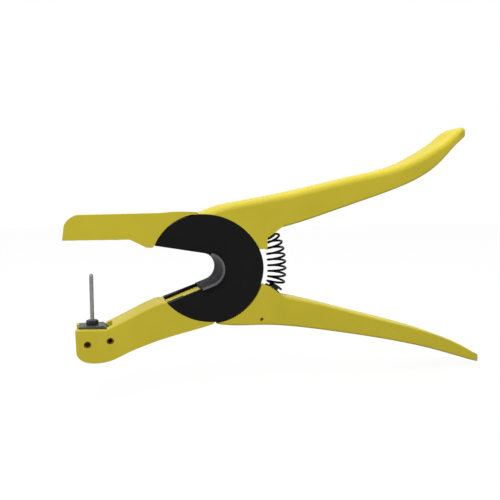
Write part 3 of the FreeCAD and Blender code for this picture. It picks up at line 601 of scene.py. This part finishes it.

# %% [markdown]
# The return spring sits on its two cups, which lie at different slopes, so its axis bows towards the
# handles. It crosses the pivot joint, and it is wound here in one fixed pose.

spring_piece = grown(WOUND_WIRE, "return_spring_wire", {
    "Start": Vector((41.19, 0, 19.10)) * MM, "Start handle": Vector((44.92, 0, 13.78)) * MM,
    "End handle": Vector((47.36, 0, -6.47)) * MM, "End": Vector((43.86, 0, -12.53)) * MM,
    "Across": Vector((0, 1, 0)), "Turns": 8.5, "Steps per turn": 40, "Start radius": 4.3 * MM,
    "Middle radius": 5.4 * MM, "End radius": 5.1 * MM, "Swell power": 0.6, "Wire radius": 0.7 * MM,
    "Wire sides": 14, "Material": OILED})
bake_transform(spring_piece)
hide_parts("return_spring")

# %% [markdown]
# The flip spring is the same wire rule with a straight axis along the carrier's pin. It is hidden in
# the fork, and it is wound here all the same, because the model comes apart.

# %% Flip spring
flip_low, flip_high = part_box("flip_spring")
FLIP_WIRE_MM = 0.8
FLIP_COIL_MM = 2.8
flip_axis = (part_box("carrier_pin")[0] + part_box("carrier_pin")[1]) / 2
flip_start = Vector((flip_axis.x, flip_high.y - FLIP_WIRE_MM / 2 * MM, flip_axis.z))
flip_end = Vector((flip_axis.x, flip_low.y + FLIP_WIRE_MM / 2 * MM, flip_axis.z))

flip_piece = grown(WOUND_WIRE, "flip_spring_wire", {
    "Start": flip_start, "Start handle": flip_start.lerp(flip_end, 1 / 3),
    "End handle": flip_start.lerp(flip_end, 2 / 3), "End": flip_end,
    "Across": Vector((0, 0, 1)), "Turns": 3.0, "Steps per turn": 40,
    "Start radius": FLIP_COIL_MM * MM, "Middle radius": FLIP_COIL_MM * MM,
    "End radius": FLIP_COIL_MM * MM, "Swell power": 1.0,
    "Wire radius": FLIP_WIRE_MM / 2 * MM, "Wire sides": 12, "Material": OILED})
stand_in(flip_piece, "flip_spring")


# %% [markdown]
# Two slotted screws hold the tag clip under the upper jaw. One screw is a head and a shank, joined and
# then cut by its driver slot. Geometry Nodes put a copy on each point of a short line, and turn each
# slot on a little, because no two screws stop at the same angle.

# %% Tag clip screws
SCREW_HEAD_MM = 2.3
SCREW_HEAD_HEIGHT_MM = 0.9
SCREW_SHANK_MM = 1.3
SCREW_SLOT_MM = 0.6
SCREW_SLOT_DEPTH_MM = 0.45
SCREW_SLOT_HEAD_RADII = 3.0
SCREW_TURN = math.radians(35)
SCREW_EDGE_MM = 0.08


def screw_tree():
    tree, given = shape_tree("slotted screws", [
        ("First", "Vector"), ("Step", "Vector"), ("Count", "Int"), ("Turn", "Float"),
        ("Head radius", "Float"), ("Head height", "Float"), ("Shank radius", "Float"),
        ("Shank length", "Float"), ("Slot width", "Float"), ("Slot depth", "Float"),
        ("Sides", "Int"), ("Material", "Material")])
    rods = []
    for radius, length in (("Head radius", "Head height"), ("Shank radius", "Shank length")):
        rod = add_node(tree, "GeometryNodeMeshCylinder",
                       [("Vertices", given["Sides"]), ("Radius", given[radius]),
                        ("Depth", given[length])])
        middle = add_node(tree, "ShaderNodeMath", [(0, given[length]), (1, 0.5)], operation="MULTIPLY")
        lift = add_node(tree, "ShaderNodeCombineXYZ", [("Z", middle.outputs[0])])
        lifted = add_node(tree, "GeometryNodeTransform",
                          [("Geometry", rod.outputs["Mesh"]), ("Translation", lift.outputs[0])])
        rods.append(lifted.outputs[0])
    joined = add_node(tree, "GeometryNodeMeshBoolean", [("Mesh 2", rods[0]), ("Mesh 2", rods[1])],
                      operation="UNION", solver="EXACT")
    slot_long = add_node(tree, "ShaderNodeMath", [(0, given["Head radius"]), (1, SCREW_SLOT_HEAD_RADII)],
                         operation="MULTIPLY")
    slot_deep = add_node(tree, "ShaderNodeMath", [(0, given["Slot depth"]), (1, 2.0)],
                         operation="MULTIPLY")
    slot_size = add_node(tree, "ShaderNodeCombineXYZ",
                         [("X", slot_long.outputs[0]), ("Y", given["Slot width"]),
                          ("Z", slot_deep.outputs[0])])
    slot = add_node(tree, "GeometryNodeMeshCube", [("Size", slot_size.outputs[0])])
    screw = add_node(tree, "GeometryNodeMeshBoolean",
                     [("Mesh 1", joined.outputs[0]), ("Mesh 2", slot.outputs[0])],
                     operation="DIFFERENCE", solver="EXACT")
    places = add_node(tree, "GeometryNodeMeshLine",
                      [("Count", given["Count"]), ("Start Location", given["First"]),
                       ("Offset", given["Step"])], mode="OFFSET")
    number = add_node(tree, "GeometryNodeInputIndex")
    angle = add_node(tree, "ShaderNodeMath", [(0, number.outputs[0]), (1, given["Turn"])],
                     operation="MULTIPLY")
    spin = add_node(tree, "ShaderNodeCombineXYZ", [("Z", angle.outputs[0])])
    copies = add_node(tree, "GeometryNodeInstanceOnPoints", [("Points", places.outputs[0]),
                                                             ("Instance", screw.outputs[0]),
                                                             ("Rotation", spin.outputs[0])])
    return end_tree(tree, copies.outputs[0], given["Material"])


screws_low, screws_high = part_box("tag_clip_screws")
first_screw = screws_low + Vector((SCREW_HEAD_MM, SCREW_HEAD_MM, 0)) * MM
screw_step = Vector((0, screws_high.y - screws_low.y - 2 * SCREW_HEAD_MM * MM, 0))
screws_piece = grown(screw_tree(), "tag_clip_screw_pair", {
    "First": first_screw, "Step": screw_step, "Count": 2, "Turn": SCREW_TURN,
    "Head radius": SCREW_HEAD_MM * MM, "Head height": SCREW_HEAD_HEIGHT_MM * MM,
    "Shank radius": SCREW_SHANK_MM * MM, "Shank length": screws_high.z - screws_low.z,
    "Slot width": SCREW_SLOT_MM * MM, "Slot depth": SCREW_SLOT_DEPTH_MM * MM, "Sides": 32,
    "Material": PLATED})
soften(screws_piece, SCREW_EDGE_MM)
stand_in(screws_piece, "tag_clip_screws")
print("screws", round(screw_step.y / MM, 1), "mm apart")


# %% [markdown]
# A white studio: a pale floor just under the lowest point, and a white world. Only the camera and
# mirror-like surfaces see them at full white; the light that falls on the object comes from the quieter
# world and two large soft lamps. The floor's own paint is grey, so that little light bounces up and the
# undersides stay dark. The key light hangs high in front, and the top light makes the upper edges glow.

# %% White floor and white world
FLOOR_DROP_MM = 3.0
FLOOR_HALF_M = 3.0
FLOOR_WHITE_SHARE = 0.85
FLOOR_WHITE = 1.12
WORLD_LEVEL = 0.35


def seen_directly(tree):
    """One where a camera, glossy or transmitted ray looks, else zero."""
    path = add_node(tree, "ShaderNodeLightPath").outputs
    first = add_node(tree, "ShaderNodeMath", [(0, path["Is Camera Ray"]), (1, path["Is Glossy Ray"])],
                     operation="MAXIMUM")
    return add_node(tree, "ShaderNodeMath", [(0, first.outputs[0]), (1, path["Is Transmission Ray"])],
                    operation="MAXIMUM").outputs[0]


def studio_floor():
    mesh = bmesh.new()
    bmesh.ops.create_grid(mesh, x_segments=1, y_segments=1, size=FLOOR_HALF_M)
    bmesh.ops.translate(mesh, verts=mesh.verts, vec=(0, 0, cad_low.z - FLOOR_DROP_MM * MM))
    material = finish("pale grey card", "#9C9C9C", "#A4A4A4", drift_mm=60.0, grain_mm=2.0,
                      rough=(0.85, 0.95), relief_mm=0.01)
    tree = material.node_tree
    shader = tree.nodes["Principled BSDF"]
    glow = add_node(tree, "ShaderNodeEmission", [("Strength", FLOOR_WHITE)])
    share = add_node(tree, "ShaderNodeMath", [(0, seen_directly(tree)), (1, FLOOR_WHITE_SHARE)],
                     operation="MULTIPLY")
    mixed = add_node(tree, "ShaderNodeMixShader", [("Fac", share.outputs[0]), (1, shader.outputs[0]),
                                                   (2, glow.outputs[0])])
    tree.links.new(mixed.outputs[0], tree.nodes["Material Output"].inputs["Surface"])
    floor = shown("studio_floor", mesh, material)


def white_world():
    world = bpy.data.worlds.new("white studio")
    bpy.context.scene.world = world
    world.use_nodes = True
    tree = world.node_tree
    tree.nodes.clear()
    level = add_node(tree, "ShaderNodeMapRange", [("Value", seen_directly(tree)), ("To Min", WORLD_LEVEL),
                                                  ("To Max", 1.0)])
    sky = add_node(tree, "ShaderNodeBackground",
                   [("Color", linear("#FFFFFF")), ("Strength", level.outputs[0])])
    add_node(tree, "ShaderNodeOutputWorld", [("Surface", sky.outputs[0])])


studio_floor()
white_world()
print("world:", bpy.context.scene.world.name)


# %% Soft lamps
def soft_lamp(name, place_mm, aim_mm, size_mm, watts):
    lamp = bpy.data.lights.new(name, "AREA")
    lamp.shape = "DISK"
    lamp.size = size_mm * MM
    lamp.energy = watts
    holder = bpy.data.objects.new(name, lamp)
    bpy.context.scene.collection.objects.link(holder)
    holder.location = Vector(place_mm) * MM
    holder.rotation_euler = (Vector(aim_mm) - Vector(place_mm)).to_track_quat("-Z", "Y").to_euler()


soft_lamp("key light", place_mm=(-200, -500, 900), aim_mm=(50, 0, 0), size_mm=600, watts=8.5)
soft_lamp("top light", place_mm=(100, 200, 800), aim_mm=(50, 0, 0), size_mm=500, watts=2.5)
print("lamps:", len(bpy.data.lights))
